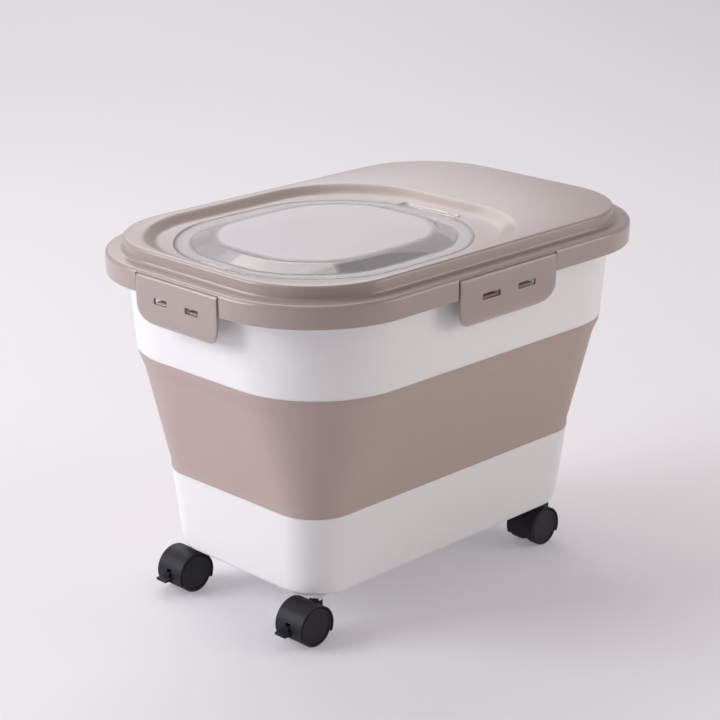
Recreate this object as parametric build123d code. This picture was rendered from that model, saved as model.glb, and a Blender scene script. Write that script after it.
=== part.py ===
"""Collapsible pet food container on four small twin-wheel casters.

A stiff white rim ring and a stiff white base tub are joined by a soft tapered band that folds
between them.  A lid with a raised plateau is held by four hinged latches, and a clear hatch with a
soft seal swings up over the feed opening.  The frame is +X from the hatch to the plain end of the
lid, +Y across, +Z up, with the origin on the floor below the middle.  Sizes are millimetres.
"""

import os
from build123d import *

# Floor, base tub and soft band: heights above the floor
BASE_BOTTOM_Z = 39.5
BASE_TOP_Z = 114.0
BAND_TOP_Z = 225.5
RIM_TOP_Z = 306.0

# Half length, half width and corner radius of the tub's outside at each level
BASE_FOOT = (165.0, 94.0, 36.0)
BASE_LIP = (172.5, 101.0, 39.0)
BAND_WAIST = (174.0, 102.5, 41.0)
BAND_SHOULDER = (196.5, 128.0, 77.0)
RING_FOOT = (203.0, 135.0, 86.0)
RING_HEAD = (208.5, 139.5, 89.0)
WAIST_RISE = 9.0
SHOULDER_DROP = 17.0
TUB_WALL = 2.4
BAND_WALL = 2.0
BASE_FLOOR = 3.0
FOOT_ROUND = 7.0

# Rim lip of the ring, which the latches close against
RIM_LIP = (217.5, 145.9, 90.2)
LIP_WALL = 2.0
LIP_HEIGHT = 16.0

# Lid
SKIRT = (225.0, 153.4, 97.7)
SKIRT_OVERLAP = 14.0
SKIRT_HEIGHT = 19.0
SKIRT_WALL = 3.0
SKIRT_ROUND = 3.0
LID_WALL = 2.5
LEDGE = 14.0
PLATEAU_HEIGHT = 11.5
PLATEAU_LEAN = 1.6
PLATEAU_ROUND = 4.5
DISH_DEPTH = 7.0
DISH_SHIFT = 6.0
DISH_MARGIN_LENGTH = 9.0
DISH_MARGIN_WIDTH = 3.0
DISH_CORNER = 80.0
DISH_SLOPE = 15.5
SEAL_WIDTH = 5.0
SEAL_GAP = 0.3

# Clear hatch, its seat in the lid and its seal
FRONT_MARGIN = 40.0
HATCH_HALF_LENGTH = 125.0
HATCH_HALF_WIDTH = 112.0
HATCH_CORNER = 78.0
SIDE_BOW = 9.0
HATCH_WALL = 2.2
HATCH_FLANGE = 15.0
HATCH_SLOPE = 18.0
HATCH_RISE = 6.6
HATCH_GAP = 0.6
SEAT_DEPTH = 4.0
OPENING_INSET = 15.0
COLLAR_DEPTH = 6.0
HATCH_SEAL_WIDTH = 10.0
HATCH_SEAL_HEIGHT = 1.6
SEAL_INSET = 2.5

# Hatch hinge and finger tab
HINGE_SETBACK = 6.0
HINGE_HALF_WIDTH = 34.0
HINGE_BARREL_R = 2.3
HINGE_PIN_R = 1.3
HINGE_PIN_LENGTH = 2.5
TAB_HALF_WIDTH = 15.0
TAB_REACH = 4.5
TAB_THICK = 2.2
FINGER_HALF_WIDTH = 19.0
FINGER_REACH = 8.0
FINGER_DEPTH = 9.0

# Latches: four hinged plates, two wide ones on the long sides and two narrower ones on the ends
END_LATCH_HALF = 49.0
SIDE_LATCH_HALF = 59.5
LATCH_DROP = 43.4
LATCH_PLATE = 2.2
LATCH_CORNER = 19.0
BARREL_R = 3.0
BARREL_INSET = 2.0
BARREL_DROP = 5.1
LATCH_PIN_R = 1.1
LATCH_PIN_LENGTH = 3.0
WINDOW_LENGTH_END = 16.0
WINDOW_LENGTH_SIDE = 22.5
WINDOW_HEIGHT = 5.4
WINDOW_SPACING_END = 38.0
WINDOW_SPACING_SIDE = 44.0
HOOK_DROP = 16.5
HOOK_HEIGHT = 2.2
LATCH_CURL = 5.6
HOOK_GAP = 0.35

# Casters
STEM_X = 147.0
STEM_Y = 76.0
TRAIL = 13.5
WHEEL_R = 17.0
WHEEL_IN = 4.8
WHEEL_OUT = 15.0
HOOD_WALL = 1.6
HOOD_GAP = 0.7
HOOD_BOTTOM_Z = 9.0
WEB_HALF = 4.3
NECK_R = 5.7
NECK_TOP_Z = 34.5
STEM_R = 3.5
STEM_BOTTOM_Z = 23.0
STEM_LENGTH = 31.0
COLLAR_R = 5.6
AXLE_R = 1.5
AXLE_HALF = 13.0
RUN = 0.05
PAD_R = 9.5
PAD_BOTTOM_Z = 38.7
BOSS_R = 8.0
BOSS_TOP_Z = 58.0

# Brake lever of the two front casters
LEVER_HALF = 2.4
LEVER_SLOT_HALF = 2.9
LEVER_PIVOT = 9.5
LEVER_PIVOT_R = 1.5
LEVER_TAB_HALF = 6.0
LEVER_TAB_LENGTH = 9.0

# How far each caster is turned about its stem, in degrees, front ones first
HEADINGS = (0.0, 0.0, 0.0, 0.0)

# Heights and places that follow from the sizes above
SKIRT_BOTTOM_Z = RIM_TOP_Z - SKIRT_OVERLAP
FLANGE_TOP_Z = SKIRT_BOTTOM_Z + SKIRT_HEIGHT
PLATEAU_Z = FLANGE_TOP_Z + PLATEAU_HEIGHT
DISH_Z = PLATEAU_Z - DISH_DEPTH
SEAT_Z = DISH_Z - SEAT_DEPTH
LID_UNDERSIDE_Z = SEAT_Z - LID_WALL
HATCH_BOTTOM_Z = SEAT_Z + SEAL_GAP + HATCH_SEAL_HEIGHT
HATCH_FRONT_X = FRONT_MARGIN - SKIRT[0]
HATCH_X = HATCH_FRONT_X + HATCH_HALF_LENGTH
HINGE_X = HATCH_X + HATCH_HALF_LENGTH + HINGE_SETBACK
DISH_X = HATCH_X + DISH_SHIFT
DISH_HALF_LENGTH = HATCH_HALF_LENGTH + DISH_MARGIN_LENGTH
DISH_HALF_WIDTH = HATCH_HALF_WIDTH + DISH_MARGIN_WIDTH
HINGE_Z = HATCH_BOTTOM_Z + HATCH_WALL / 2 - 0.3
AXLE_Z = WHEEL_R
HOOD_R = WHEEL_R + HOOD_GAP + HOOD_WALL


def inset(size, by, corner_by=None):
    """The same rounded rectangle, drawn in by a distance on every side."""
    half_length, half_width, corner = size
    return (half_length - by, half_width - by, corner - (by if corner_by is None else corner_by))


def outline(size, z):
    """A rounded rectangle at height z."""
    half_length, half_width, corner = size
    return Pos(0, 0, z) * RectangleRounded(2 * half_length, 2 * half_width, corner)


def prism(size, low, high):
    """An upright block with a rounded rectangle for its outline."""
    return extrude(outline(size, low), high - low)


def tapered(sections):
    """A body through rounded rectangles, given as (size, height) from the bottom up."""
    body = None
    for (low_size, low), (high_size, high) in zip(sections[:-1], sections[1:]):
        step = loft([outline(low_size, low), outline(high_size, high)], ruled=True)
        body = step if body is None else body + step
    return body


def bowed(x, half_length, half_width, corner, bow, z):
    """A rounded square whose four sides swell outwards by bow, centred at x."""
    a, b = half_length - bow, half_width - bow
    edges = [
        ThreePointArc((-a, -b), (0, -half_width), (a, -b)),
        ThreePointArc((a, -b), (half_length, 0), (a, b)),
        ThreePointArc((a, b), (0, half_width), (-a, b)),
        ThreePointArc((-a, b), (-half_length, 0), (-a, -b)),
    ]
    face = make_face(edges)
    return Pos(x, 0, z) * fillet(face.vertices(), corner)


def box(low, high):
    """An upright box from its lowest to its highest corner."""
    size = [h - l for l, h in zip(low, high)]
    middle = [(h + l) / 2 for l, h in zip(low, high)]
    return Pos(*middle) * Box(*size)


def rod_y(x, z, radius, low, high):
    """A round rod along Y."""
    return Pos(x, (low + high) / 2, z) * Rot(90, 0, 0) * Cylinder(radius, high - low)


def rod_z(x, y, radius, low, high):
    """A round rod along Z."""
    return Pos(x, y, (low + high) / 2) * Cylinder(radius, high - low)


def base_tub():
    """The stiff white lower tub, with a pad and a blind boss for each caster stem."""
    outside = tapered([(BASE_FOOT, BASE_BOTTOM_Z), (BASE_LIP, BASE_TOP_Z)])
    outside = fillet(outside.edges().group_by(Axis.Z)[0], FOOT_ROUND)
    inside = tapered(
        [
            (inset(BASE_FOOT, TUB_WALL), BASE_BOTTOM_Z + BASE_FLOOR),
            (inset(BASE_LIP, TUB_WALL), BASE_TOP_Z),
        ]
    )
    inside = fillet(inside.edges().group_by(Axis.Z)[0], FOOT_ROUND - TUB_WALL)
    tub = outside - inside
    for x, y in stem_places():
        tub += rod_z(x, y, PAD_R, PAD_BOTTOM_Z, BASE_BOTTOM_Z + BASE_FLOOR)
        tub += rod_z(x, y, BOSS_R, PAD_BOTTOM_Z, BOSS_TOP_Z)
        tub -= rod_z(x, y, STEM_R + RUN, PAD_BOTTOM_Z, BOSS_TOP_Z - BASE_FLOOR)
    return tub


def fold_band():
    """The soft band: a flared shoulder under the ring, a long taper and an upright foot."""
    levels = [
        (BASE_LIP, BASE_TOP_Z),
        (inset(BAND_WAIST, 0.6), BASE_TOP_Z + WAIST_RISE),
        (BAND_WAIST, BASE_TOP_Z + WAIST_RISE + 3.0),
        (BAND_SHOULDER, BAND_TOP_Z - SHOULDER_DROP),
        (inset(RING_FOOT, 1.2), BAND_TOP_Z - 5.0),
        (RING_FOOT, BAND_TOP_Z),
    ]
    outside = tapered(levels)
    inside = tapered([(inset(size, BAND_WALL), z) for size, z in levels])
    return outside - inside


def rim_ring():
    """The stiff white upper ring, with a rolled rim whose lip hangs down outside it."""
    outside = tapered([(RING_FOOT, BAND_TOP_Z), (RING_HEAD, RIM_TOP_Z)])
    inside = tapered([(inset(RING_FOOT, TUB_WALL), BAND_TOP_Z), (inset(RING_HEAD, TUB_WALL), RIM_TOP_Z)])
    rim = prism(RIM_LIP, RIM_TOP_Z - LIP_HEIGHT, RIM_TOP_Z)
    rim = fillet(rim.edges().group_by(Axis.Z)[-1], LIP_WALL)
    under = prism(inset(RIM_LIP, LIP_WALL), RIM_TOP_Z - LIP_HEIGHT, RIM_TOP_Z - LIP_WALL)
    return outside + (rim - under) - inside


def latch_places():
    """Each latch as its name, its placement and its half width; local -X points out of the lid."""
    out_x, out_y = SKIRT[0] - BARREL_INSET, SKIRT[1] - BARREL_INSET
    axis_z = FLANGE_TOP_Z - BARREL_DROP
    end = (END_LATCH_HALF, WINDOW_LENGTH_END, WINDOW_SPACING_END)
    side = (SIDE_LATCH_HALF, WINDOW_LENGTH_SIDE, WINDOW_SPACING_SIDE)
    return [
        ("latch_front", Pos(-out_x, 0, axis_z), *end),
        ("latch_back", Pos(out_x, 0, axis_z) * Rot(0, 0, 180), *end),
        ("latch_right", Pos(0, -out_y, axis_z) * Rot(0, 0, 90), *side),
        ("latch_left", Pos(0, out_y, axis_z) * Rot(0, 0, -90), *side),
    ]


def stem_places():
    """The middle of each caster stem, front ones first."""
    return [(sx * STEM_X, sy * STEM_Y) for sx in (-1, 1) for sy in (-1, 1)]


def dish_shape(drop, low):
    """The dish as a solid, moved down by drop and carried straight down to low."""
    floor = (DISH_HALF_LENGTH, DISH_HALF_WIDTH, DISH_CORNER)
    brim = inset(floor, -DISH_SLOPE)
    steps = [(floor, low), (floor, DISH_Z - drop), (brim, PLATEAU_Z - drop)]
    if drop == 0:
        steps = [(floor, DISH_Z), (brim, PLATEAU_Z)]
    return Pos(DISH_X, 0, 0) * tapered(steps)


def hatch_outline(by, z):
    """The hatch's outline drawn in by a distance, at height z."""
    return bowed(
        HATCH_X,
        HATCH_HALF_LENGTH - by,
        HATCH_HALF_WIDTH - by,
        HATCH_CORNER - by,
        SIDE_BOW,
        z,
    )


def hatch_block(by, low, high):
    """An upright block with the hatch's outline drawn in by a distance."""
    return extrude(hatch_outline(by, low), high - low)


def finger_notch(grow, low, high):
    """The half ellipse in front of the hatch, where a finger reaches under the tab."""
    sketch = Pos(HATCH_FRONT_X, 0, low) * Ellipse(FINGER_REACH + grow, FINGER_HALF_WIDTH + grow)
    notch = extrude(sketch, high - low)
    return notch & box(
        (HATCH_FRONT_X - 2 * FINGER_REACH, -2 * FINGER_HALF_WIDTH, low),
        (HATCH_FRONT_X + 1.0, 2 * FINGER_HALF_WIDTH, high),
    )


def latch_notch(place, half):
    """The space that a latch's barrel and plate take out of the lid's skirt."""
    gap = 0.5
    top = BARREL_R + 0.3
    notch = box((-12.0, -half - gap, -20.0), (BARREL_R + 0.5, half + gap, top))
    return place * notch


def latch_ears(place, half):
    """The two blocks inside the skirt that hold the ends of a latch's pin."""
    ears = []
    for side in (-1, 1):
        near, far = sorted((side * (half + 0.5), side * (half + 7.0)))
        ears.append(place * box((-BARREL_INSET + 0.2, near, -4.5), (4.0, far, 3.2)))
    return ears


def lid_shell():
    """The lid: skirt, ledge, plateau, dish, hatch seat, collar, notches and hinge sockets."""
    skirt = prism(SKIRT, SKIRT_BOTTOM_Z, FLANGE_TOP_Z)
    skirt = fillet(skirt.edges().group_by(Axis.Z)[-1], SKIRT_ROUND)
    foot = inset(SKIRT, LEDGE)
    crest = inset(SKIRT, LEDGE + PLATEAU_LEAN)
    plateau = tapered([(foot, LID_UNDERSIDE_Z), (foot, FLANGE_TOP_Z), (crest, PLATEAU_Z)])
    plateau = fillet(plateau.edges().group_by(Axis.Z)[-1], PLATEAU_ROUND)
    lid = skirt + plateau
    lid -= prism(inset(SKIRT, SKIRT_WALL), SKIRT_BOTTOM_Z, LID_UNDERSIDE_Z)
    hollow = tapered(
        [
            (inset(foot, LID_WALL), LID_UNDERSIDE_Z - 1.0),
            (inset(foot, LID_WALL), FLANGE_TOP_Z),
            (inset(crest, LID_WALL), PLATEAU_Z - LID_WALL),
        ]
    )
    kept = dish_shape(LID_WALL, DISH_Z - LID_WALL - 0.5)
    kept += hatch_block(-HATCH_GAP - LID_WALL, LID_UNDERSIDE_Z - 1.0, DISH_Z)
    trough_half = HINGE_HALF_WIDTH + HINGE_PIN_LENGTH + 3.0
    kept += box(
        (HINGE_X - 10.0, -trough_half, LID_UNDERSIDE_Z - 1.0),
        (HINGE_X + HINGE_BARREL_R + LID_WALL, trough_half, DISH_Z),
    )
    lid -= hollow - kept
    lid -= dish_shape(0, DISH_Z)
    lid += finger_notch(LID_WALL, DISH_Z - FINGER_DEPTH - LID_WALL, SEAT_Z)
    lid += hatch_block(OPENING_INSET - LID_WALL, LID_UNDERSIDE_Z - COLLAR_DEPTH, SEAT_Z)
    lid -= hatch_block(-HATCH_GAP, SEAT_Z, PLATEAU_Z)
    lid -= hatch_block(OPENING_INSET, LID_UNDERSIDE_Z - COLLAR_DEPTH, SEAT_Z)
    lid -= finger_notch(0, DISH_Z - FINGER_DEPTH, PLATEAU_Z)
    lid -= box(
        (HINGE_X - 10.0, -HINGE_HALF_WIDTH - 0.5, SEAT_Z - 0.6),
        (HINGE_X + HINGE_BARREL_R + 0.4, HINGE_HALF_WIDTH + 0.5, PLATEAU_Z),
    )
    socket_half = HINGE_HALF_WIDTH + HINGE_PIN_LENGTH + 0.3
    lid -= rod_y(HINGE_X, HINGE_Z, HINGE_PIN_R + RUN, -socket_half, socket_half)
    for name, place, half, length, spacing in latch_places():
        lid -= latch_notch(place, half)
        for ear in latch_ears(place, half):
            lid += ear
        reach = half + 0.5 + LATCH_PIN_LENGTH
        lid -= place * rod_y(0, 0, LATCH_PIN_R + RUN, -reach, reach)
    return lid


def lid_seal():
    """The soft ring between the lid and the rim."""
    outer = inset(RIM_LIP, 3.0)
    low, high = RIM_TOP_Z + SEAL_GAP, LID_UNDERSIDE_Z
    return prism(outer, low, high) - prism(inset(outer, SEAL_WIDTH), low, high)


def hatch_cover():
    """The clear hatch: flange, low dome, finger tab and hinge barrel with its two trunnions."""
    low = HATCH_BOTTOM_Z
    high = low + HATCH_WALL
    outer = loft(
        [
            hatch_outline(HATCH_FLANGE, high),
            hatch_outline(HATCH_FLANGE + HATCH_SLOPE, high + HATCH_RISE),
        ],
        ruled=True,
    )
    inner = loft(
        [
            hatch_outline(HATCH_FLANGE, low),
            hatch_outline(HATCH_FLANGE + HATCH_SLOPE, low + HATCH_RISE),
        ],
        ruled=True,
    )
    cover = hatch_block(0, low, high) + outer
    cover += box(
        (HATCH_X + HATCH_HALF_LENGTH - 3.0, -HINGE_HALF_WIDTH, low),
        (HINGE_X, HINGE_HALF_WIDTH, high),
    )
    cover -= inner
    cover += box(
        (HATCH_FRONT_X - TAB_REACH, -TAB_HALF_WIDTH, low),
        (HATCH_FRONT_X + 3.0, TAB_HALF_WIDTH, low + TAB_THICK),
    )
    cover += rod_y(HINGE_X, HINGE_Z, HINGE_BARREL_R, -HINGE_HALF_WIDTH, HINGE_HALF_WIDTH)
    reach = HINGE_HALF_WIDTH + HINGE_PIN_LENGTH
    cover += rod_y(HINGE_X, HINGE_Z, HINGE_PIN_R, -reach, reach)
    return cover


def hatch_seal():
    """The soft white ring under the hatch's flange."""
    low = HATCH_BOTTOM_Z - HATCH_SEAL_HEIGHT
    ring = hatch_block(SEAL_INSET, low, HATCH_BOTTOM_Z)
    return ring - hatch_block(SEAL_INSET + HATCH_SEAL_WIDTH, low, HATCH_BOTTOM_Z)


def window_places(spacing):
    """The middle of each of a latch's two windows along its length."""
    return (-spacing / 2, spacing / 2)


def hook_low():
    """The height of a rim hook's underside, seen from a latch's axis."""
    return -HOOK_DROP - HOOK_HEIGHT


def latch_plate(half, length, spacing):
    """One latch: a barrel, a plate that curls in at the foot, and two windows."""
    out = -BARREL_R
    inn = out + LATCH_PLATE
    bend = -LATCH_DROP * 0.62
    foot = -LATCH_DROP + BARREL_R
    curl = LATCH_CURL
    middle = (bend + foot) / 2
    profile = make_face(
        [
            Line((out, 0), (out, bend)),
            ThreePointArc((out, bend), (out + curl * 0.22, middle), (out + curl, foot)),
            Line((out + curl, foot), (inn + curl, foot + 1.0)),
            ThreePointArc((inn + curl, foot + 1.0), (inn + curl * 0.24, middle), (inn, bend)),
            Line((inn, bend), (inn, 0)),
            Line((inn, 0), (out, 0)),
        ]
    )
    plate = extrude(Plane.XZ * profile, half, both=True)
    height = BARREL_R - foot
    shape = Pos(0, 0, (BARREL_R + foot) / 2) * Box(60, 2 * half, height)
    lower = [e for e in shape.edges().filter_by(Axis.X) if e.center().Z < 0]
    plate = plate & fillet(lower, LATCH_CORNER)
    plate += rod_y(0, 0, BARREL_R, -half, half)
    low = hook_low() - HOOK_GAP
    for y in window_places(spacing):
        plate -= box(
            (-2 * BARREL_R, y - length / 2, low),
            (2 * BARREL_R, y + length / 2, low + WINDOW_HEIGHT),
        )
    reach = half + LATCH_PIN_LENGTH
    plate += rod_y(0, 0, LATCH_PIN_R, -reach, reach)
    return plate


def rim_hooks():
    """The ribs under the rim lip whose tips stand in the latch windows."""
    hooks = []
    for name, place, half, length, spacing in latch_places():
        if half == END_LATCH_HALF:
            wall = SKIRT[0] - BARREL_INSET - RING_HEAD[0] + 1.6
        else:
            wall = SKIRT[1] - BARREL_INSET - RING_HEAD[1] + 1.6
        for y in window_places(spacing):
            hooks.append(
                place
                * box(
                    (-BARREL_R + 0.5, y - length / 2 + 1.0, hook_low()),
                    (wall, y + length / 2 - 1.0, hook_low() + HOOK_HEIGHT),
                )
            )
            hooks.append(
                place
                * box(
                    (1.5, y - 1.2, hook_low()),
                    (wall, y + 1.2, hook_low() + HOOK_HEIGHT + 2.5),
                )
            )
    return hooks


def caster_hood(braked):
    """The black hood over one caster's wheels, with its middle web and neck."""
    arc = rod_y(-TRAIL, AXLE_Z, HOOD_R, -WHEEL_OUT, WHEEL_OUT)
    arc -= rod_y(-TRAIL, AXLE_Z, HOOD_R - HOOD_WALL, -WHEEL_OUT, WHEEL_OUT)
    side = -TRAIL + WHEEL_R * 0.8
    arc &= box((-TRAIL - 2 * HOOD_R, -WHEEL_OUT, HOOD_BOTTOM_Z), (side + 6.0, WHEEL_OUT, 3 * HOOD_R))
    web = rod_y(-TRAIL, AXLE_Z, HOOD_R, -WEB_HALF, WEB_HALF)
    web &= box((-TRAIL - 2 * HOOD_R, -WEB_HALF, HOOD_BOTTOM_Z), (HOOD_R, WEB_HALF, 3 * HOOD_R))
    hood = arc + web
    neck = rod_z(0, 0, NECK_R, AXLE_Z + 2.0, NECK_TOP_Z)
    for low, high in ((-WHEEL_OUT, -WEB_HALF), (WEB_HALF, WHEEL_OUT)):
        neck -= rod_y(-TRAIL, AXLE_Z, HOOD_R - HOOD_WALL, low, high)
    hood += neck
    hood -= rod_z(0, 0, STEM_R + RUN, STEM_BOTTOM_Z - 0.3, NECK_TOP_Z)
    hood -= rod_y(-TRAIL, AXLE_Z, AXLE_R + RUN, -WEB_HALF, WEB_HALF)
    if braked:
        slot_x = -TRAIL - HOOD_R
        hood -= box(
            (slot_x - 1.0, -LEVER_SLOT_HALF, HOOD_BOTTOM_Z - 1.0),
            (-TRAIL - 4.0, LEVER_SLOT_HALF, AXLE_Z + 5.5),
        )
        hood += rod_y(-TRAIL - LEVER_PIVOT, AXLE_Z, LEVER_PIVOT_R, -WEB_HALF, WEB_HALF)
    return hood


def caster_wheel(side):
    """One of the two black wheels, with a shallow rim on its outer face."""
    low, high = sorted((side * WHEEL_IN, side * WHEEL_OUT))
    wheel = rod_y(-TRAIL, AXLE_Z, WHEEL_R, low, high)
    wheel = fillet(wheel.edges().filter_by(GeomType.CIRCLE), 1.2)
    outer = side * WHEEL_OUT
    low, high = sorted((outer, outer - side * 0.5))
    wheel -= rod_y(-TRAIL, AXLE_Z, WHEEL_R - 2.5, low, high)
    low, high = sorted((side * WHEEL_IN, side * (AXLE_HALF + 0.3)))
    return wheel - rod_y(-TRAIL, AXLE_Z, AXLE_R + RUN, low, high)


def caster_lever():
    """The brake lever: an arm on its pivot, a pad that presses the web, and a flat foot tab."""
    pivot_x = -TRAIL - LEVER_PIVOT
    front = -TRAIL - HOOD_R
    arm = box((front - 2.0, -LEVER_HALF, AXLE_Z - 3.0), (pivot_x + 3.0, LEVER_HALF, AXLE_Z + 2.6))
    tab = box(
        (front - LEVER_TAB_LENGTH, -LEVER_TAB_HALF, AXLE_Z - 3.0),
        (front - 0.8, LEVER_TAB_HALF, AXLE_Z - 0.8),
    )
    lever = arm + tab
    return lever - rod_y(pivot_x, AXLE_Z, LEVER_PIVOT_R + RUN, -LEVER_HALF, LEVER_HALF)


def stem():
    """The bright steel stem, with the collar that the tub rests on."""
    post = rod_z(0, 0, STEM_R, STEM_BOTTOM_Z, STEM_BOTTOM_Z + STEM_LENGTH)
    return post + rod_z(0, 0, COLLAR_R, NECK_TOP_Z + 0.3, PAD_BOTTOM_Z - 0.1)


def write(name, shape):
    """Writes one node as a solid of its own."""
    export_step(shape, "parts/" + name + ".step")


os.makedirs("parts", exist_ok=True)

ring = rim_ring()
for hook in rim_hooks():
    ring += hook
write("lower_tub", base_tub())
write("folding_band", fold_band())
write("upper_ring", ring)
write("lid", lid_shell())
write("lid_seal", lid_seal())
write("hatch", hatch_cover())
write("hatch_seal", hatch_seal())
for name, place, half, length, spacing in latch_places():
    write(name, place * latch_plate(half, length, spacing))

corners = ["front_right", "front_left", "back_right", "back_left"]
for corner, (x, y), heading in zip(corners, stem_places(), HEADINGS):
    place = Pos(x, y, 0) * Rot(0, 0, heading)
    braked = corner.startswith("front")
    write("caster_stem_" + corner, place * stem())
    write("caster_hood_" + corner, place * caster_hood(braked))
    write("caster_axle_" + corner, place * rod_y(-TRAIL, AXLE_Z, AXLE_R, -AXLE_HALF, AXLE_HALF))
    write("wheel_outer_" + corner, place * caster_wheel(-1 if y < 0 else 1))
    write("wheel_inner_" + corner, place * caster_wheel(1 if y < 0 else -1))
    if braked:
        write("brake_lever_" + corner, place * caster_lever())
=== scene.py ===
"""Photograph-matched look of a collapsible pet food container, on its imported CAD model.

All lengths are metres in the CAD frame: +X from the hatch's tab to the plain end, +Z up.
"""

import math

import bmesh
import bpy
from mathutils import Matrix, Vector


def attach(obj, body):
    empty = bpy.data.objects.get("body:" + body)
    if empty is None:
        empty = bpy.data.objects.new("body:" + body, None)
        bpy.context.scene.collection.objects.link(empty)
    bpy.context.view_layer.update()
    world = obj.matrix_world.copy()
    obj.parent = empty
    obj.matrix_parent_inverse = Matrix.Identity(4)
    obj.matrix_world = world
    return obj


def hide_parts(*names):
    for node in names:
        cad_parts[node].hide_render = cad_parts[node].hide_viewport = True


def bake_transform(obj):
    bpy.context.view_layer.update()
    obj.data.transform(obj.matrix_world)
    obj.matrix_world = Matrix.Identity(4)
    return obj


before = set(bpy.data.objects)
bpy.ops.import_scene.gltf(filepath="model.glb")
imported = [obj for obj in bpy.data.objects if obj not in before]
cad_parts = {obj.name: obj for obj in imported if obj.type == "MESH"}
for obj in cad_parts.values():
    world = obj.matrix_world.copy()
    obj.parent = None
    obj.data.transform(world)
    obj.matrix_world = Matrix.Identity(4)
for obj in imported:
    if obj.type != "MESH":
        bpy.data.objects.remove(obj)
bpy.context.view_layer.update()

MM = 0.001

# Outlines as half length, half width and corner radius. These and all other sizes are in
# millimetres until MM turns them into metres.
BASE_FOOT, BASE_LIP = (165.0, 94.0, 36.0), (172.5, 101.0, 39.0)
RING_FOOT, RING_HEAD = (203.0, 135.0, 86.0), (208.5, 139.5, 89.0)
RIM_LIP = (217.5, 145.9, 90.2)
SKIRT = (225.0, 153.4, 97.7)
DISH = (134.0, 115.0, 80.0)
HATCH = (125.0, 112.0, 78.0)

# Heights above the floor
BASE_BOTTOM, BASE_TOP, BAND_TOP, RIM_TOP = 39.5, 114.0, 225.5, 306.0
SKIRT_BOTTOM, FLANGE_TOP, PLATEAU_TOP = 292.0, 311.0, 322.5
DISH_FLOOR, SEAT, UNDERSIDE = 315.5, 311.5, 309.0
HATCH_LOW, HATCH_FLANGE = 313.4, 315.6
HAZE_FROM, HAZE_FULL = 320.6, 320.9

# Places and thicknesses
DISH_X, HATCH_X, BOW = -54.0, -60.0, 9.0
HINGE_X, HINGE_Z = 71.0, 314.2
STEM_X, STEM_Y = 147.0, 76.0
WALL, BAND_WALL = 2.4, 2.0
LATCH_AXIS, LATCH_R, LATCH_PLATE = 305.9, 3.0, 2.2


def inset(size, by):
    """An outline drawn in by a distance."""
    return (size[0] - by, size[1] - by, max(size[2] - by, 0.5))


def ring(size, z, cx=0.0, bow=0.0, side=10, corner=22):
    """Points round a rounded rectangle whose sides may swell outwards by bow."""
    hl, hw, r = size
    a, b = hl - bow, hw - bow
    r = min(r, a, b)
    pts = []
    quarters = [(1, 1, 0), (-1, 1, 90), (-1, -1, 180), (1, -1, 270)]
    for sx, sy, turn in quarters:
        mx, my = sx * (a - r), sy * (b - r)
        if turn in (0, 180):
            start, end = (sx * a, 0.0), (0.0, sy * b)
        else:
            start, end = (0.0, sy * b), (sx * a, 0.0)
        t0 = math.radians(turn)
        first = (mx + r * math.cos(t0), my + r * math.sin(t0))
        for i in range(side):
            f = i / side
            pts.append((start[0] + (first[0] - start[0]) * f, start[1] + (first[1] - start[1]) * f))
        for i in range(corner + 1):
            t = t0 + math.radians(90) * i / corner
            pts.append((mx + r * math.cos(t), my + r * math.sin(t)))
        last = pts[-1]
        for i in range(1, side):
            f = i / side
            pts.append((last[0] + (end[0] - last[0]) * f, last[1] + (end[1] - last[1]) * f))
    out = []
    for x, y in pts:
        dx = bow * (1 - min(1.0, (y / b) ** 2)) * (x / a)
        dy = bow * (1 - min(1.0, (x / a) ** 2)) * (y / b)
        out.append(Vector(((x + dx + cx) * MM, (y + dy) * MM, z * MM)))
    return out


def finish_mesh(obj, angle=32):
    """Merges doubles, turns faces outwards and smooths all but the sharp edges."""
    me = obj.data
    bm = bmesh.new()
    bm.from_mesh(me)
    bmesh.ops.remove_doubles(bm, verts=bm.verts, dist=1e-7)
    bmesh.ops.recalc_face_normals(bm, faces=bm.faces)
    bm.to_mesh(me)
    bm.free()
    me.shade_smooth()
    me.set_sharp_from_angle(angle=math.radians(angle))
    return obj


def new_object(name, verts, faces):
    """An object in the scene from its points and faces."""
    me = bpy.data.meshes.new(name)
    me.from_pydata([tuple(v) for v in verts], [], faces)
    obj = bpy.data.objects.new(name, me)
    bpy.context.scene.collection.objects.link(obj)
    return obj


def skin(name, loops, closed=True, cap_first=False, cap_last=False, angle=32):
    """A surface through loops of equal count; closed joins the last loop to the first."""
    n = len(loops[0])
    verts = [v for loop in loops for v in loop]
    faces = []
    pairs = list(zip(range(len(loops) - 1), range(1, len(loops))))
    if closed:
        pairs.append((len(loops) - 1, 0))
    for a, b in pairs:
        for i in range(n):
            j = (i + 1) % n
            faces.append((a * n + i, a * n + j, b * n + j, b * n + i))
    if cap_first:
        faces.append(tuple(reversed(range(n))))
    if cap_last:
        faces.append(tuple(range((len(loops) - 1) * n, len(loops) * n)))
    return finish_mesh(new_object(name, verts, faces), angle)


def rounded(points, steps=6):
    """A path of (across, up, radius) points with each corner rounded to its radius."""
    out = []
    for k, (x, z, r) in enumerate(points):
        p = Vector((x, z))
        if r <= 0 or k in (0, len(points) - 1):
            out.append(p)
            continue
        a = Vector(points[k - 1][:2]) - p
        b = Vector(points[k + 1][:2]) - p
        half = a.angle(b) / 2
        cut = min(r / math.tan(half), a.length * 0.48, b.length * 0.48)
        r = cut * math.tan(half)
        a.normalize()
        b.normalize()
        middle = p + (a + b).normalized() * (r / math.sin(half))
        first, last = p + a * cut - middle, p + b * cut - middle
        for i in range(steps + 1):
            v = first.lerp(last, i / steps)
            out.append(middle + v.normalized() * r)
    return out


def drawn(size, path, cx=0.0, bow=0.0):
    """Loops of an outline drawn in by each point's first value, at its second."""
    return [ring(inset(size, p[0]), p[1], cx, bow) for p in path]


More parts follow.
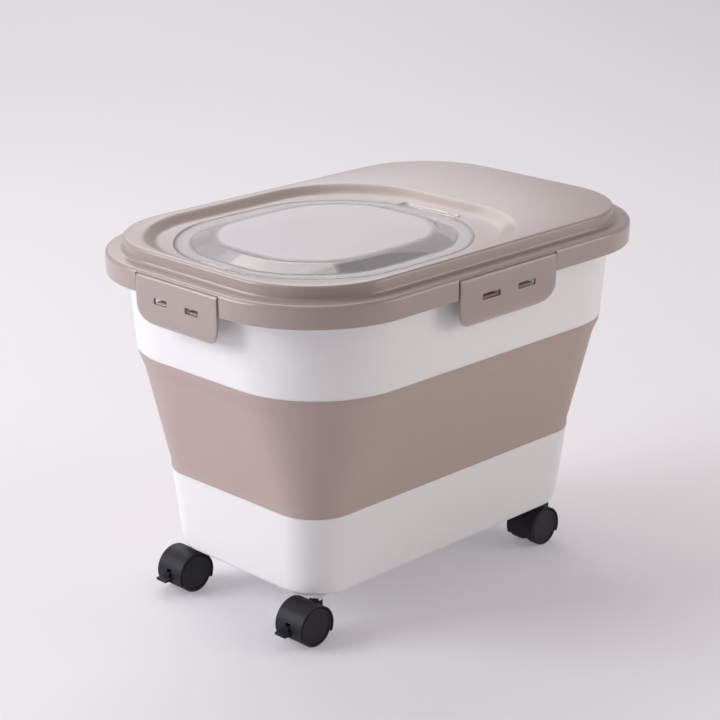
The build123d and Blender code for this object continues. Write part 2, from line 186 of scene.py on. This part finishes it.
def level(table, z, soft):
    """The size at height z in a table of (size, z), with its corners softened."""
    total = [0.0, 0.0, 0.0]
    weights = [(-1.0, 0.15), (-0.5, 0.2), (0.0, 0.3), (0.5, 0.2), (1.0, 0.15)]
    for shift, weight in weights:
        h = min(max(z + shift * soft, table[0][1]), table[-1][1])
        for (low, z0), (high, z1) in zip(table[:-1], table[1:]):
            if z0 <= h <= z1:
                f = (h - z0) / (z1 - z0)
                for i in range(3):
                    total[i] += weight * (low[i] + (high[i] - low[i]) * f)
                break
    return tuple(total)


def spread(low, high, count):
    """Evenly spaced values from low to high."""
    return [low + (high - low) * i / (count - 1) for i in range(count)]


def cut(obj, cutter, mode="DIFFERENCE"):
    """Cuts obj with cutter, or joins them, and removes the cutter."""
    mod = obj.modifiers.new("cut", "BOOLEAN")
    mod.operation = mode
    mod.solver = "EXACT"
    mod.object = cutter
    bpy.context.view_layer.update()
    deps = bpy.context.evaluated_depsgraph_get()
    me = bpy.data.meshes.new_from_object(obj.evaluated_get(deps))
    obj.modifiers.clear()
    old = obj.data
    obj.data = me
    bpy.data.meshes.remove(old)
    bpy.data.objects.remove(cutter)


def block(name, low, high, bevel=0.0, segments=3):
    """A box between two corners in millimetres, with rounded edges."""
    bm = bmesh.new()
    bmesh.ops.create_cube(bm, size=1.0)
    for v in bm.verts:
        at = [(low[i] + high[i]) / 2 + v.co[i] * (high[i] - low[i]) for i in range(3)]
        v.co = Vector(at) * MM
    if bevel:
        bmesh.ops.bevel(bm, geom=bm.edges, offset=bevel * MM, segments=segments, affect="EDGES")
    me = bpy.data.meshes.new(name)
    bm.to_mesh(me)
    bm.free()
    obj = bpy.data.objects.new(name, me)
    bpy.context.scene.collection.objects.link(obj)
    me.shade_smooth()
    me.set_sharp_from_angle(angle=math.radians(40))
    return obj


def lathe(name, path, centre, axis="Y", count=64, angle=35):
    """Turns a closed path of (along, radius) about an axis through a centre, all in millimetres."""
    loops = []
    for k in range(count):
        t = 2 * math.pi * k / count
        c, s = math.cos(t), math.sin(t)
        loop = []
        for along, radius in path:
            if axis == "Y":
                v = (centre[0] + radius * c, centre[1] + along, centre[2] + radius * s)
            else:
                v = (centre[0] + radius * c, centre[1] + radius * s, centre[2] + along)
            loop.append(Vector(v) * MM)
        loops.append(loop)
    return skin(name, loops, closed=True, angle=angle)


class Value:
    """A socket of a finish's node tree; sums and products of it add Math nodes."""

    def __init__(self, finish, socket):
        self.finish, self.socket = finish, socket

    def joined(self, operation, first, second):
        return self.finish.node("ShaderNodeMath", {"operation": operation}, {0: first, 1: second})

    def __add__(self, other):
        return self.joined("ADD", self, other)

    def __mul__(self, other):
        return self.joined("MULTIPLY", self, other)

    __radd__ = __add__
    __rmul__ = __mul__


class Finish:
    """A material with its node tree, whose main shader is a Principled BSDF."""

    def __init__(self, name):
        self.material = bpy.data.materials.new(name)
        self.material.use_nodes = True
        self.tree = self.material.node_tree
        self.shader = self.tree.nodes["Principled BSDF"]
        self.place = self.node("ShaderNodeTexCoord", out="Object")

    def feed(self, node, sockets):
        for key, value in sockets.items():
            if isinstance(value, Value):
                self.tree.links.new(value.socket, node.inputs[key])
            elif isinstance(value, tuple) and len(value) == 3 and node.inputs[key].type == "RGBA":
                node.inputs[key].default_value = (*value, 1)
            else:
                node.inputs[key].default_value = value

    def node(self, kind, settings=None, sockets=None, out=0):
        """Adds a node, sets its own settings and then its sockets, and gives back one output."""
        made = self.tree.nodes.new(kind)
        for key, value in (settings or {}).items():
            setattr(made, key, value)
        self.feed(made, sockets or {})
        return Value(self, made.outputs[out])

    def noise(self, scale, detail=2.0):
        sockets = {"Vector": self.place, "Scale": scale, "Detail": detail}
        return self.node("ShaderNodeTexNoise", None, sockets, out="Fac")

    def blend(self, factor, low, high):
        """A colour between two others."""
        sockets = {0: factor, 6: low, 7: high}
        return self.node("ShaderNodeMix", {"data_type": "RGBA"}, sockets, out=2)

    def relief(self, height, strength, distance):
        sockets = {"Height": height, "Strength": strength, "Distance": distance}
        return self.node("ShaderNodeBump", None, sockets)

    def surface(self, shader):
        self.feed(self.tree.nodes["Material Output"], {"Surface": shader})


def scaled(colour, by):
    return tuple(min(1.0, c * by) for c in colour)


def moulded(name, colour, rough, grain, scale, vary=0.03, coat=0.0, subsurface=0.0, specular=0.5):
    """A moulded plastic: fine grain, slow drift of colour and of gloss."""
    finish = Finish(name)
    slow, fine = finish.noise(7.0, 3.0), finish.noise(scale, 4.0)
    finish.feed(
        finish.shader,
        {
            "Base Color": finish.blend(slow, scaled(colour, 1 - vary), scaled(colour, 1 + vary)),
            "Roughness": slow * 0.08 + fine * 0.06 + (rough - 0.07),
            "Normal": finish.relief(fine, grain, 0.0002),
            "Specular IOR Level": specular,
            "Coat Weight": coat,
            "Coat Roughness": 0.2,
            "Subsurface Weight": subsurface,
            "Subsurface Radius": (1.0, 0.9, 0.85),
            "Subsurface Scale": 0.006,
        },
    )
    return finish.material


def clear_moulded(name):
    """A clear moulded sheet, faintly uneven, that lets the light through to what is under it."""
    finish = Finish(name)
    uneven = finish.noise(9.0)
    finish.feed(
        finish.shader,
        {
            "Base Color": (0.96, 0.955, 0.965),
            "Transmission Weight": 0.9,
            "IOR": 1.49,
            "Roughness": uneven * 0.04 + 0.01,
            "Normal": finish.relief(uneven, 0.06, 0.001),
        },
    )
    shadow = finish.node("ShaderNodeLightPath", out="Is Shadow Ray")
    through = finish.node("ShaderNodeBsdfTransparent", None, {"Color": (0.93, 0.925, 0.94)})
    solid = Value(finish, finish.shader.outputs[0])
    height = finish.node("ShaderNodeSeparateXYZ", None, {"Vector": finish.place}, out="Z")
    limits = {"Value": height, "From Min": HAZE_FROM * MM, "From Max": HAZE_FULL * MM}
    crown = finish.node("ShaderNodeMapRange", None, limits) * (0.58 + uneven * 0.06)
    milky = finish.node("ShaderNodeBsdfDiffuse", None, {"Color": (0.86, 0.83, 0.865)})
    hazed = finish.node("ShaderNodeMixShader", None, {0: crown, 1: solid, 2: milky})
    finish.surface(finish.node("ShaderNodeMixShader", None, {0: shadow, 1: hazed, 2: through}))
    return finish.material


def plated(name, colour, rough):
    """Plated or plain steel with a fine drawn texture."""
    finish = Finish(name)
    drawn_marks = finish.noise(600.0)
    finish.feed(
        finish.shader,
        {
            "Base Color": colour,
            "Metallic": 1.0,
            "Roughness": drawn_marks * 0.1 + rough,
        },
    )
    return finish.material


def paper(name, colour, glow, share):
    """The backdrop's paper, partly lit from within for the eye and for reflections alone."""
    finish = Finish(name)
    slow = finish.noise(3.0)
    finish.feed(
        finish.shader,
        {
            "Base Color": finish.blend(slow, scaled(colour, 0.997), scaled(colour, 1.003)),
            "Roughness": 0.9,
            "Specular IOR Level": 0.1,
        },
    )
    seen = finish.node("ShaderNodeLightPath", out="Is Camera Ray")
    mirrored = finish.node("ShaderNodeLightPath", out="Is Glossy Ray")
    passed = finish.node("ShaderNodeLightPath", out="Is Transmission Ray")
    light = finish.node("ShaderNodeEmission", None, {"Color": glow, "Strength": 1.0})
    lit = Value(finish, finish.shader.outputs[0])
    factor = (seen + mirrored + passed) * share
    finish.surface(finish.node("ShaderNodeMixShader", None, {0: factor, 1: lit, 2: light}))
    return finish.material


WHITE = moulded("white_shell", (0.76, 0.745, 0.755), 0.42, 0.05, 900.0, 0.006, 0.1, 0.6)
TAUPE = moulded("taupe_shell", (0.355, 0.285, 0.265), 0.31, 0.10, 1400.0, 0.015, 0.2)
BAND = moulded("taupe_soft", (0.418, 0.328, 0.298), 0.55, 0.10, 1100.0, 0.02, 0.0, 0.0, 0.35)
SEAL = moulded("white_seal", (0.47, 0.435, 0.435), 0.5, 0.04, 700.0, 0.01)
BLACK = moulded("black_shell", (0.017, 0.016, 0.022), 0.5, 0.25, 2600.0, 0.10, 0.0, 0.0, 0.2)
TREAD = moulded("black_wheel", (0.011, 0.010, 0.013), 0.45, 0.12, 1800.0, 0.10, 0.0, 0.0, 0.3)
CLEAR = clear_moulded("clear_shell")
STEEL = plated("bright_steel", (0.75, 0.75, 0.78), 0.1)
PLAIN = plated("plain_steel", (0.5, 0.5, 0.52), 0.3)


def dress(obj, material, body, slot, *nodes):
    """Gives a finished piece its material and its body, and hides the CAD nodes it stands for; slot
    is not used.
    """
    obj.data.materials.clear()
    obj.data.materials.append(material)
    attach(obj, body)
    if nodes:
        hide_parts(*nodes)
    return obj


BASE = [(BASE_FOOT, BASE_BOTTOM), (BASE_LIP, BASE_TOP)]


def base_tub():
    """The lower tub: its rounded foot, its wall, its lip and the inside."""
    outer_r, inner_r = 7, 5
    loops = []
    for i in range(9):
        t = math.radians(90) * i / 8
        by = outer_r - outer_r * math.sin(t)
        loops.append(ring(inset(BASE_FOOT, by), BASE_BOTTOM + outer_r - outer_r * math.cos(t)))
    for z in spread(54.0, 113.4, 8):
        loops.append(ring(level(BASE, z, 0.1), z))
    loops.append(ring(inset(BASE_LIP, 0.5), BASE_TOP))
    loops.append(ring(inset(BASE_LIP, WALL), BASE_TOP))
    for z in spread(110.0, 52.0, 6):
        loops.append(ring(inset(level(BASE, z, 0.1), WALL), z))
    for i in range(1, 7):
        t = math.radians(90) * i / 6
        by = WALL + inner_r - inner_r * math.cos(t)
        loops.append(ring(inset(BASE_FOOT, by), 47.5 - inner_r * math.sin(t)))
    return skin("base_tub", loops, closed=False, cap_first=True, cap_last=True)


dress(base_tub(), WHITE, "lower_body", "white_shell", "lower_tub")

# The pad under each corner of the tub and the blind boss above it, as (height, radius) paths
STEM_SEATS = [
    ("stem_pad_", [(38.7, 3.6), (38.7, 8.9), (39.2, 9.5), (42.0, 9.5), (42.0, 3.6)]),
    ("stem_boss_", [(41.5, 0.2), (41.5, 8.0), (56.0, 8.0), (58.0, 6.0), (58.0, 0.2)]),
]
for sx in (-1, 1):
    for sy in (-1, 1):
        corner = ("front" if sx < 0 else "back") + ("_right" if sy < 0 else "_left")
        for kind, path in STEM_SEATS:
            stem_seat = lathe(kind + corner, path, (STEM_X * sx, STEM_Y * sy, 0), "Z", 48)
            dress(stem_seat, WHITE, "lower_body", "white_shell")

BANDS = [
    (BASE_LIP, BASE_TOP),
    ((173.2, 101.7, 40.2), 123.0),
    ((174.2, 102.8, 41.2), 126.0),
    ((196.5, 128.0, 77.0), 208.5),
    ((202.0, 134.0, 85.0), 220.5),
    (RING_FOOT, BAND_TOP),
]


def soft_band():
    """The folding band's thin wall, with its bends softened."""
    heights = spread(BASE_TOP, BAND_TOP, 57)
    outer = [ring(level(BANDS, z, 2.6), z) for z in heights]
    inner = [ring(inset(level(BANDS, z, 2.6), BAND_WALL), z) for z in reversed(heights)]
    return skin("soft_band", outer + inner, closed=True, angle=50)


band = soft_band()
band.data.materials.append(BAND)
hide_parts("folding_band")
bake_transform(band)

RIM = [(RING_FOOT, BAND_TOP), (RING_HEAD, RIM_TOP)]


def rim():
    """The stiff ring over the band, up to the rolled rim whose lip hangs outside it."""
    lip_low = 290.0
    lip = [
        (4, 294.0, 0),
        (2, 292.0, 0.8),
        (2, lip_low, 0.5),
        (0, lip_low, 0.8),
        (0, RIM_TOP, 2.5),
        (12, RIM_TOP, 1.5),
        (12, 302.0, 0),
    ]
    loops = [ring(inset(RING_FOOT, 0.4), BAND_TOP), ring(level(RIM, 226.0, 0.1), 226.0)]
    loops += [ring(level(RIM, z, 0.1), z) for z in spread(234.0, 289.0, 8)]
    loops.append(ring(level(RIM, 294.0, 0.1), 294.0))
    loops += drawn(RIM_LIP, rounded(lip))
    loops += [ring(inset(level(RIM, z, 0.1), WALL), z) for z in spread(298.0, 226.0, 8)]
    loops.append(ring(inset(RING_FOOT, WALL), BAND_TOP))
    return skin("rim_ring", loops, closed=True)


dress(rim(), WHITE, "upper_body", "white_shell", "upper_ring")

# Each latch: its name, the place of its axis, its turn in degrees, its half width, the length and
# the spacing of its two windows, and how far out the ring's wall stands there.
LATCHES = [
    ("front", (-223.0, 0.0), 0, 49.0, 16.0, 38.0, RING_HEAD[0]),
    ("back", (223.0, 0.0), 180, 49.0, 16.0, 38.0, RING_HEAD[0]),
    ("right", (0.0, -151.4), 90, 59.5, 22.5, 44.0, RING_HEAD[1]),
    ("left", (0.0, 151.4), -90, 59.5, 22.5, 44.0, RING_HEAD[1]),
]


def turned(obj, spot, turn):
    """Turns a piece made at a latch's own origin to its place on the lid."""
    c, s = math.cos(math.radians(turn)), math.sin(math.radians(turn))
    for v in obj.data.vertices:
        x, y = v.co.x, v.co.y
        v.co.x = x * c - y * s + spot[0] * MM
        v.co.y = x * s + y * c + spot[1] * MM
    return obj


HOOK_LOW, HOOK_HIGH = LATCH_AXIS - 18.7, LATCH_AXIS - 16.5 - 0.8
for name, spot, turn, half, length, gap, wall in LATCHES:
    reach = max(abs(spot[0]), abs(spot[1])) - wall + 1.6
    for side in (-1, 1):
        y = side * gap / 2
        first = (-1.0, y - length / 2 + 1, HOOK_LOW)
        last = (reach, y + length / 2 - 1, HOOK_HIGH)
        hook = block("hook_%s_%d" % (name, side), first, last, 0.5)
        dress(turned(hook, spot, turn), TAUPE, "upper_body", "taupe_shell")


def lid():
    """The lid, from its skirt up over the plateau, down the dish and into the seat."""
    path = rounded(
        [
            (3.0, SKIRT_BOTTOM + 0.6, 0),
            (2.4, SKIRT_BOTTOM, 0.4),
            (0.3, SKIRT_BOTTOM, 0.6),
            (0.0, SKIRT_BOTTOM + 10.0, 0),
            (0.0, FLANGE_TOP, 3.4),
            (14.4, FLANGE_TOP, 2.8),
            (15.6, PLATEAU_TOP, 4.6),
            (20.0, PLATEAU_TOP, 0),
        ],
        8,
    )
    loops = drawn(SKIRT, path)
    slope = 15.5
    brim = inset(DISH, -slope)
    for i in range(13):
        f = i / 12
        rise = 1 - (3 * f * f - 2 * f ** 3)
        size = inset(brim, -1.0 + (slope + 1.0) * f)
        loops.append(ring(size, DISH_FLOOR + (PLATEAU_TOP - DISH_FLOOR) * rise, DISH_X))
    collar_low, collar_out, collar_in = 303.0, 15.0, 12.5
    seat = [
        (-2.2, DISH_FLOOR, 0),
        (-0.6, DISH_FLOOR, 0.5),
        (-0.6, SEAT, 0.4),
        (collar_out, SEAT, 0.6),
        (collar_out, collar_low, 0.4),
        (collar_in, collar_low, 0.4),
        (collar_in, UNDERSIDE, 0),
    ]
    loops += drawn(HATCH, rounded(seat, 4), HATCH_X, BOW)
    loops += drawn(SKIRT, [Vector((8.0, UNDERSIDE)), Vector((3.0, UNDERSIDE))])
    obj = skin("lid_shell", loops, closed=True)
    room = 1.6
    for name, spot, turn, half, length, gap, wall in LATCHES:
        first = (-12, -half - room, 280.0)
        last = (3.5, half + room, LATCH_AXIS + LATCH_R + 0.3)
        cut(obj, turned(block("cutter", first, last, 0.6), spot, turn))
    return obj


lid_obj = lid()


def oval(cx, rx, ry, low, high, count=48, stop=None):
    """An upright elliptical plug, cut off at x = stop."""
    bottom, top = [], []
    for k in range(count):
        t = 2 * math.pi * k / count
        x = cx + rx * math.cos(t)
        x = x if stop is None else min(x, stop)
        bottom.append(Vector((x, ry * math.sin(t), low)) * MM)
        top.append(Vector((x, ry * math.sin(t), high)) * MM)
    return skin("plug", [bottom, top], closed=False, cap_first=True, cap_last=True)


# The cup of the finger notch and the notch in it, then the hinge's bed and the socket in it
NOTCH_X = -185.0
cut(lid_obj, oval(NOTCH_X, 10.5, 21.5, 304.0, 311.4, stop=-183.5), "UNION")
cut(lid_obj, oval(NOTCH_X, 8.0, 19.0, 306.5, 330.0, stop=-184.0))
cut(lid_obj, block("cutter", (61, -38.5, 308.4), (75.9, 38.5, 314.0)), "UNION")
cut(lid_obj, block("cutter", (60, -34.5, 310.9), (73.7, 34.5, 330.0)))
finish_mesh(lid_obj)
dress(lid_obj, TAUPE, "lid_body", "taupe_shell", "lid")

SEAL_LOW = RIM_TOP + 0.3
seal_path = [Vector(p) for p in ((0, SEAL_LOW), (0, UNDERSIDE), (5, UNDERSIDE), (5, SEAL_LOW))]
seal = skin("rim_seal", drawn(inset(RIM_LIP, 3.0), seal_path))
dress(seal, SEAL, "lid_body", "white_seal", "lid_seal")


def hatch():
    """The clear hatch: a flange with a rounded edge, a sloped shoulder and a nearly flat top."""
    top = rounded(
        [
            (0.0, HATCH_LOW, 0),
            (0.0, HATCH_FLANGE, 0.9),
            (14.0, HATCH_FLANGE, 2.0),
            (30.0, 320.5, 8.0),
            (58.0, 321.9, 30.0),
            (70.0, 322.2, 0),
        ],
        7,
    )
    under = rounded(
        [(66.0, 320.1, 0), (31.0, 318.5, 7.0), (15.5, HATCH_LOW, 1.5), (1.0, HATCH_LOW, 0)],
        7,
    )
    middle, middle_bow = 85.0, BOW * 0.5
    loops = drawn(HATCH, [Vector((middle, 320.3))], HATCH_X, middle_bow)
    loops += drawn(HATCH, under, HATCH_X, BOW)
    loops += drawn(HATCH, top, HATCH_X, BOW)
    loops += drawn(HATCH, [Vector((middle, PLATEAU_TOP))], HATCH_X, middle_bow)
    return skin("hatch_cover", loops, closed=False, cap_first=True, cap_last=True, angle=40)


hatch_obj = hatch()
HINGE_HALF, BARREL_R = 34, 2.3
tongue = block("tongue", (60, -HINGE_HALF, HATCH_LOW), (HINGE_X, HINGE_HALF, HATCH_FLANGE), 0.5)
cut(hatch_obj, tongue, "UNION")
barrel = lathe(
    "barrel",
    [(-HINGE_HALF, 0.05), (-HINGE_HALF, BARREL_R), (HINGE_HALF, BARREL_R), (HINGE_HALF, 0.05)],
    (HINGE_X, 0, HINGE_Z),
    "Y",
    32,
)
cut(hatch_obj, barrel, "UNION")
cut(hatch_obj, block("tab", (-189.5, -15, HATCH_LOW), (-182, 15, 316.0), 0.9), "UNION")
finish_mesh(hatch_obj, 40)
dress(hatch_obj, CLEAR, "hatch_body", "clear_shell", "hatch")


def ridges():
    """The row of raised ribs on the finger tab, repeated by Geometry Nodes."""
    tree = bpy.data.node_groups.new("ridge_row", "GeometryNodeTree")
    face = tree.interface
    face.new_socket("Geometry", in_out="INPUT", socket_type="NodeSocketGeometry")
    face.new_socket("Count", in_out="INPUT", socket_type="NodeSocketInt")
    for label in ("Pitch", "Length", "Radius"):
        face.new_socket(label, in_out="INPUT", socket_type="NodeSocketFloat")
    face.new_socket("Geometry", in_out="OUTPUT", socket_type="NodeSocketGeometry")
    nodes, links = tree.nodes, tree.links
    entry = nodes.new("NodeGroupInput")
    leave = nodes.new("NodeGroupOutput")
    line = nodes.new("GeometryNodeMeshLine")
    step = nodes.new("ShaderNodeCombineXYZ")
    links.new(entry.outputs["Pitch"], step.inputs["Y"])
    links.new(entry.outputs["Count"], line.inputs["Count"])
    links.new(step.outputs[0], line.inputs["Offset"])
    rib = nodes.new("GeometryNodeMeshCylinder")
    rib.inputs["Vertices"].default_value = 16
    links.new(entry.outputs["Radius"], rib.inputs["Radius"])
    links.new(entry.outputs["Length"], rib.inputs["Depth"])
    place = nodes.new("GeometryNodeInstanceOnPoints")
    place.inputs["Rotation"].default_value = (0, math.radians(90), 0)
    links.new(line.outputs[0], place.inputs["Points"])
    links.new(rib.outputs["Mesh"], place.inputs["Instance"])
    real = nodes.new("GeometryNodeRealizeInstances")
    links.new(place.outputs[0], real.inputs[0])
    paint = nodes.new("GeometryNodeSetMaterial")
    paint.inputs["Material"].default_value = CLEAR
    links.new(real.outputs[0], paint.inputs[0])
    links.new(paint.outputs[0], leave.inputs[0])
    count, pitch = 10, 0.0028
    holder = new_object("tab_ridges", [(0, 0, 0)], [])
    mod = holder.modifiers.new("ridges", "NODES")
    mod.node_group = tree
    values = {"Count": count, "Pitch": pitch, "Length": 0.005, "Radius": 0.0008}
    for item in face.items_tree:
        if item.in_out == "INPUT" and item.name in values:
            mod[item.identifier] = values[item.name]
    bpy.context.view_layer.update()
    deps = bpy.context.evaluated_depsgraph_get()
    me = bpy.data.meshes.new_from_object(holder.evaluated_get(deps))
    holder.modifiers.clear()
    holder.data = me
    for v in me.vertices:
        v.co += Vector((-0.1860, -pitch * (count - 1) / 2, 0.3162))
    me.shade_smooth()
    me.set_sharp_from_angle(angle=math.radians(50))
    return holder


dress(ridges(), CLEAR, "hatch_body", "clear_shell")

GASKET_LOW, GASKET_HIGH = 311.8, HATCH_LOW - 0.05
gasket_path = [
    (8, GASKET_LOW, 0),
    (2.5, GASKET_LOW, 0.5),
    (2.5, GASKET_HIGH, 0.5),
    (12.5, GASKET_HIGH, 0.5),
    (12.5, GASKET_LOW, 0.5),
    (8.5, GASKET_LOW, 0),
]
gasket = skin("hatch_seal_ring", drawn(HATCH, rounded(gasket_path, 4), HATCH_X, BOW))
dress(gasket, SEAL, "hatch_body", "white_seal", "hatch_seal")


def latch(name, spot, turn, half, length, gap):
    """A curling plate with a rolled top edge, rounded lower corners and two windows."""
    outer = [
        (-LATCH_R, 0.0),
        (-LATCH_R, -12.0),
        (-LATCH_R, -23.0),
        (-2.7, -27.0),
        (-2.1, -31.0),
        (-0.9, -35.0),
        (1.2, -38.2),
        (4.0, -40.4),
    ]
    rows = []
    for i, (x, z) in enumerate(outer):
        ax, az = outer[max(i - 1, 0)]
        bx, bz = outer[min(i + 1, len(outer) - 1)]
        d = Vector((bx - ax, bz - az)).normalized()
        rows.append((x, z, -d.y, d.x))
    path = [(x + nx * LATCH_PLATE, z + nz * LATCH_PLATE) for x, z, nx, nz in reversed(rows)]
    turns = [math.radians(a) for a in range(-40, 181, 20)]
    roll = [(LATCH_R * math.cos(t), LATCH_R * math.sin(t)) for t in turns]
    path = path[:-1] + [(-0.8, -3.4)] + roll + outer[1:]
    loops = []
    for y in spread(-half, half, 25):
        loops.append([Vector((x, y, z + LATCH_AXIS)) * MM for x, z in path])
    obj = skin("latch_plate_" + name, loops, closed=False, cap_first=True, cap_last=True)
    foot = min(p[1] for p in path)
    r, steps = 19.0, 12
    outline = [(-half, 8.0)]
    for middle, start in ((-half + r, 180), (half - r, 270)):
        for i in range(steps + 1):
            t = math.radians(start + 90 * i / steps)
            outline.append((middle + r * math.cos(t), foot + 0.02 + r + r * math.sin(t)))
    outline.append((half, 8.0))
    a = [Vector((-30, y, z + LATCH_AXIS)) * MM for y, z in outline]
    b = [Vector((30, y, z + LATCH_AXIS)) * MM for y, z in outline]
    shape = skin("shape", [a, b], closed=False, cap_first=True, cap_last=True)
    cut(obj, shape, "INTERSECT")
    for side in (-1, 1):
        y = side * gap / 2
        low = HOOK_LOW - 0.35
        window = block("window", (-9, y - length / 2, low), (9, y + length / 2, low + 5.4), 0.7)
        cut(obj, window)
    finish_mesh(obj, 30)
    bevel = obj.modifiers.new("bevel", "BEVEL")
    bevel.width = 0.5 * MM
    bevel.segments = 2
    bevel.limit_method = "ANGLE"
    bevel.angle_limit = math.radians(50)
    bevel.harden_normals = False
    bpy.context.view_layer.update()
    deps = bpy.context.evaluated_depsgraph_get()
    me = bpy.data.meshes.new_from_object(obj.evaluated_get(deps))
    obj.modifiers.clear()
    obj.data = me
    me.shade_smooth()
    me.set_sharp_from_angle(angle=math.radians(40))
    turned(obj, spot, turn)
    dress(obj, TAUPE, "latch_%s_body" % name, "taupe_shell", "latch_" + name)
    for side in (-1, 1):
        near, far = sorted((side * (half - 2), side * (half + 3)))
        ends = [(near, 0.05), (near, 1.1), (far, 1.1), (far, 0.05)]
        pin = lathe("latch_pin_%s_%d" % (name, side), ends, (0, 0, LATCH_AXIS), "Y", 20)
        turned(pin, spot, turn)
        dress(pin, TAUPE, "latch_%s_body" % name, "taupe_shell")


for name, spot, turn, half, length, gap, wall in LATCHES:
    latch(name, spot, turn, half, length, gap)


# The casters keep their CAD shapes
CASTER_FINISHES = [
    ("caster_stem", STEEL),
    ("caster_axle", PLAIN),
    ("caster_hood", BLACK),
    ("brake_lever", BLACK),
    ("wheel_", TREAD),
]
for node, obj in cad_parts.items():
    for start, material in CASTER_FINISHES:
        if node.startswith(start):
            obj.data.materials.clear()
            obj.data.materials.append(material)


def backdrop():
    """A seamless pale sweep in metres: floor, curve and wall, square to the view."""
    a = math.radians(-45.2)
    back = Vector((-math.sin(a), math.cos(a), 0))
    side = Vector((math.cos(a), math.sin(a), 0))
    reach, bend, half_width, height = 4.6, 1.6, 7.0, 6.0
    profile = [(-7.0, 0.0), (reach, 0.0)]
    for i in range(1, 13):
        t = math.radians(90) * i / 12
        profile.append((reach + bend * math.sin(t), bend - bend * math.cos(t)))
    profile.append((reach + bend, height))
    verts, faces = [], []
    for s in (-half_width, half_width):
        for d, z in profile:
            verts.append(back * d + side * s + Vector((0, 0, z)))
    n = len(profile)
    for i in range(n - 1):
        faces.append((i, i + 1, n + i + 1, n + i))
    obj = new_object("sweep", verts, faces)
    obj.data.shade_smooth()
    return obj


sweep = backdrop()
PAPER = paper("paper", (0.92, 0.90, 0.925), (0.54, 0.515, 0.565), 0.4)
sweep.data.materials.append(PAPER)

scene = bpy.context.scene
world = bpy.data.worlds.new("world")
scene.world = world
world.use_nodes = True
world.node_tree.nodes["Background"].inputs[0].default_value = (1.0, 0.94, 0.955, 1)
world.node_tree.nodes["Background"].inputs[1].default_value = 0.345


def area(name, spot, aim, size, power, colour):
    """A square soft lamp, in metres and watts."""
    light = bpy.data.lights.new(name, "AREA")
    light.shape = "RECTANGLE"
    light.size = size
    light.size_y = size
    light.energy = power
    light.color = colour
    obj = bpy.data.objects.new(name, light)
    scene.collection.objects.link(obj)
    obj.location = spot
    obj.rotation_euler = (Vector(aim) - Vector(spot)).to_track_quat("-Z", "Y").to_euler()
    return obj


area("key", (-1.9, 1.35, 1.3), (0, 0, 0.2), 1.5, 56.0, (0.93, 0.95, 1.0))
area("top", (0.3, 1.1, 2.1), (0, 0, 0.3), 1.6, 15.0, (1.0, 0.94, 0.86))
# The clear hatch is left out of the lamp behind, whose mirror image would cover its dome
back = area("back", (2.0, 3.0, 2.4), (1.0, 1.9, 0.0), 2.6, 42.0, (0.96, 0.98, 1.0))
spared = bpy.data.collections.new("spared_by_back_lamp")
spared.objects.link(hatch_obj)
back.light_linking.receiver_collection = spared
spared.collection_objects[0].light_linking.link_state = "EXCLUDE"
area("fill", (1.6, -1.9, 0.9), (0, 0, 0.2), 1.4, 21.0, (1.0, 0.95, 0.88))

camera = bpy.data.cameras.new("camera")
camera.lens = 100.3
camera.sensor_width = 36.0
cam = bpy.data.objects.new("camera", camera)
scene.collection.objects.link(cam)
target = Vector((-0.0182, 0.0, 0.1957))
cam.location = Vector((-1.2023, -1.1748, 0.7622))
cam.rotation_euler = (target - cam.location).to_track_quat("-Z", "Y").to_euler()
scene.camera = cam
scene.render.resolution_x = 720
scene.render.resolution_y = 720
scene.view_settings.view_transform = "Standard"
